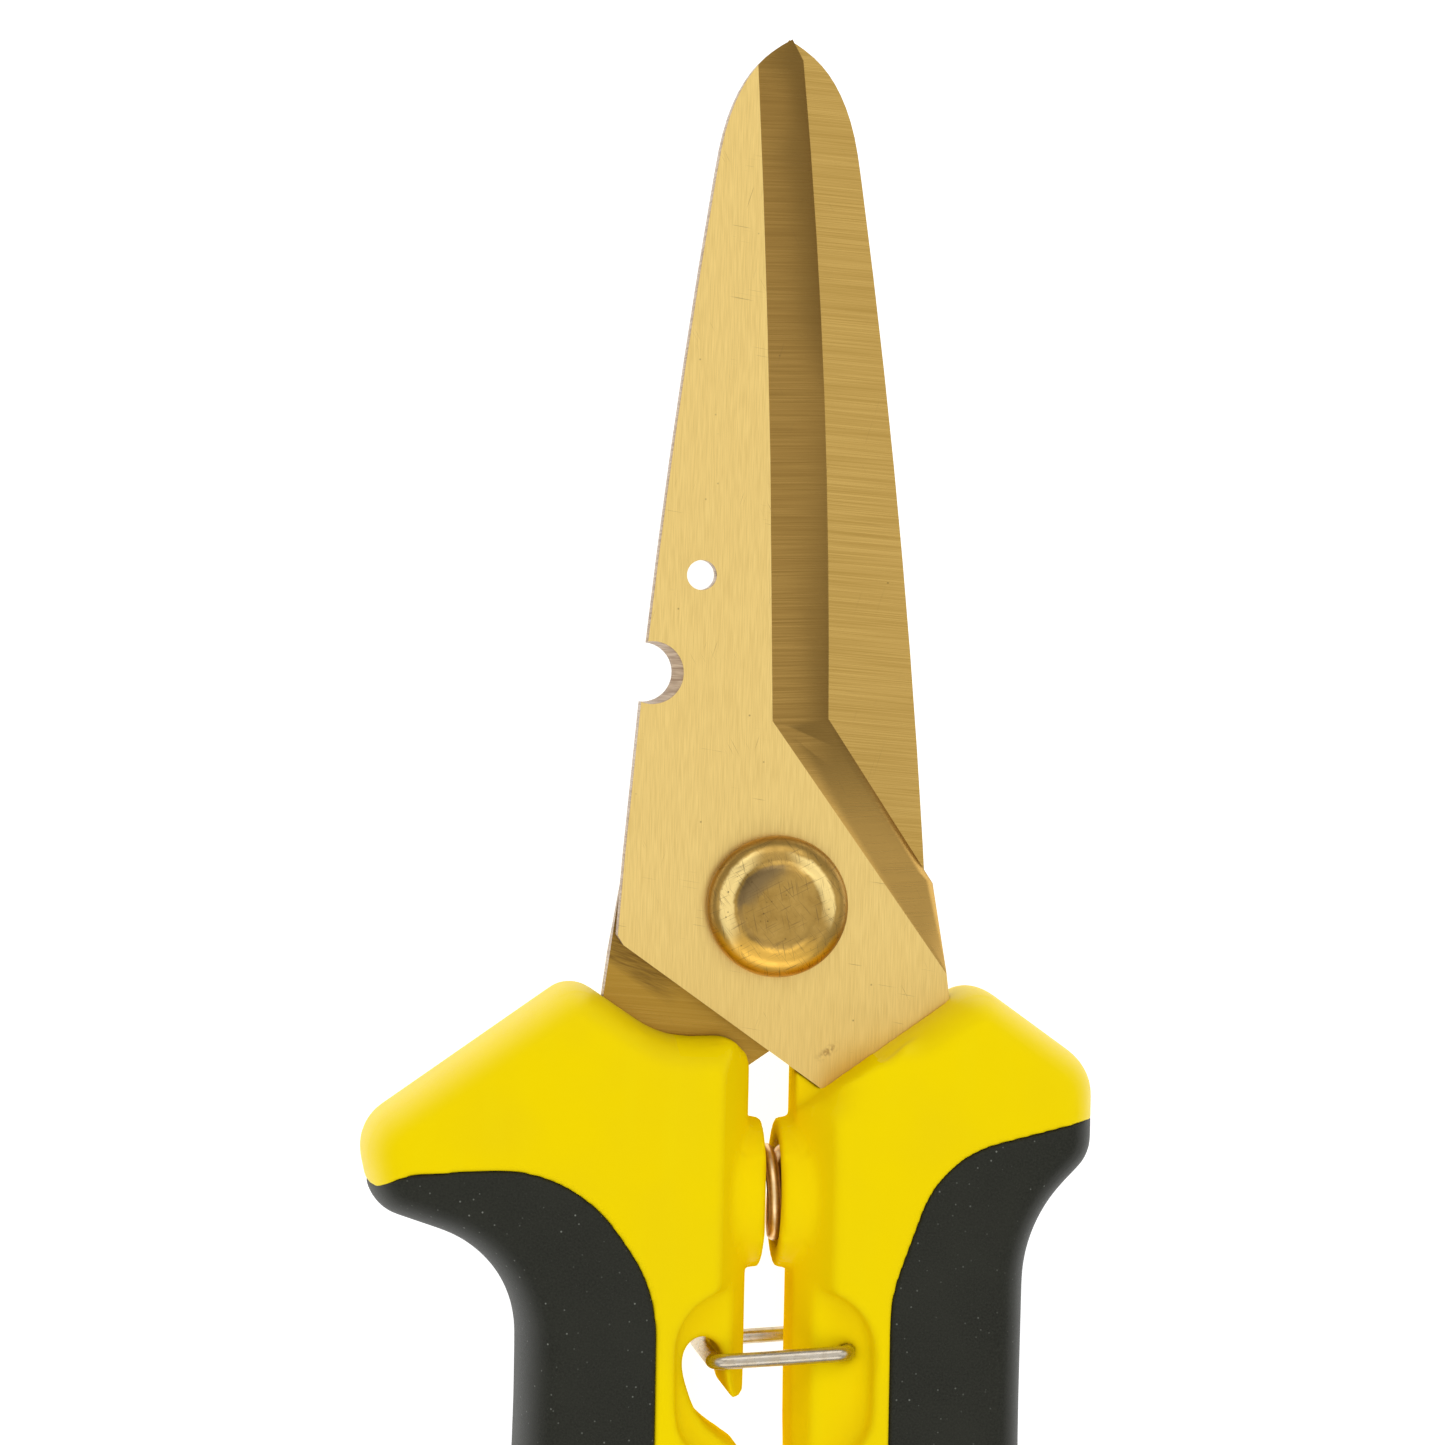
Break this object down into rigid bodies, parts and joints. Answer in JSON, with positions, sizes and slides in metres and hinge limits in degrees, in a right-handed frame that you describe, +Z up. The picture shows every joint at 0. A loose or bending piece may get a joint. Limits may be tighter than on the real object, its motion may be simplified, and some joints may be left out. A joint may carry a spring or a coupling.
{
  "type": "hand snips",
  "caption": "Spring-opened hand snips with long overlapping blades, overmoulded handles and a wire-loop latch.",
  "frame": {"origin": "middle of the closed tool's footprint, on the surface it lies on", "axes": "+Y towards the blade tips, +Z up through the thickness, +X across towards the right handle"},
  "size_m": [0.061, 0.195, 0.018],
  "materials": {
    "coated_blade": "gold coloured hard coating over brushed steel, satin",
    "rivet": "tumbled antique gold plating, mottled",
    "handle_core": "satin moulded yellow plastic",
    "soft_grip": "matt charcoal rubber with a fine grain",
    "spring": "drawn spring wire, bronze coloured",
    "latch_wire": "bright nickel plated wire"
  },
  "bodies": {
    "rear_half": {"rear_blade": "coated_blade", "pivot_post": "rivet", "pivot_cap": "rivet", "left_handle": "handle_core", "left_grip": "soft_grip", "return_spring": "spring"},
    "front_half": {"front_blade": "coated_blade", "right_handle": "handle_core", "right_grip": "soft_grip"},
    "latch": {"latch_wire": "latch_wire"}
  },
  "joints": [
    {"name": "pivot", "type": "hinge", "parent": "rear_half", "child": "front_half", "pos_m": [0.00365, 0.0252, 0.009], "axis": [0, 0, 1], "range_deg": [0, 35], "deforming": ["return_spring"]},
    {"name": "latch_hinge", "type": "hinge", "parent": "front_half", "child": "latch", "pos_m": [0.00995, -0.01165, 0.009], "axis": [0, 0, 1], "range_deg": [0, 55]}
  ]
}
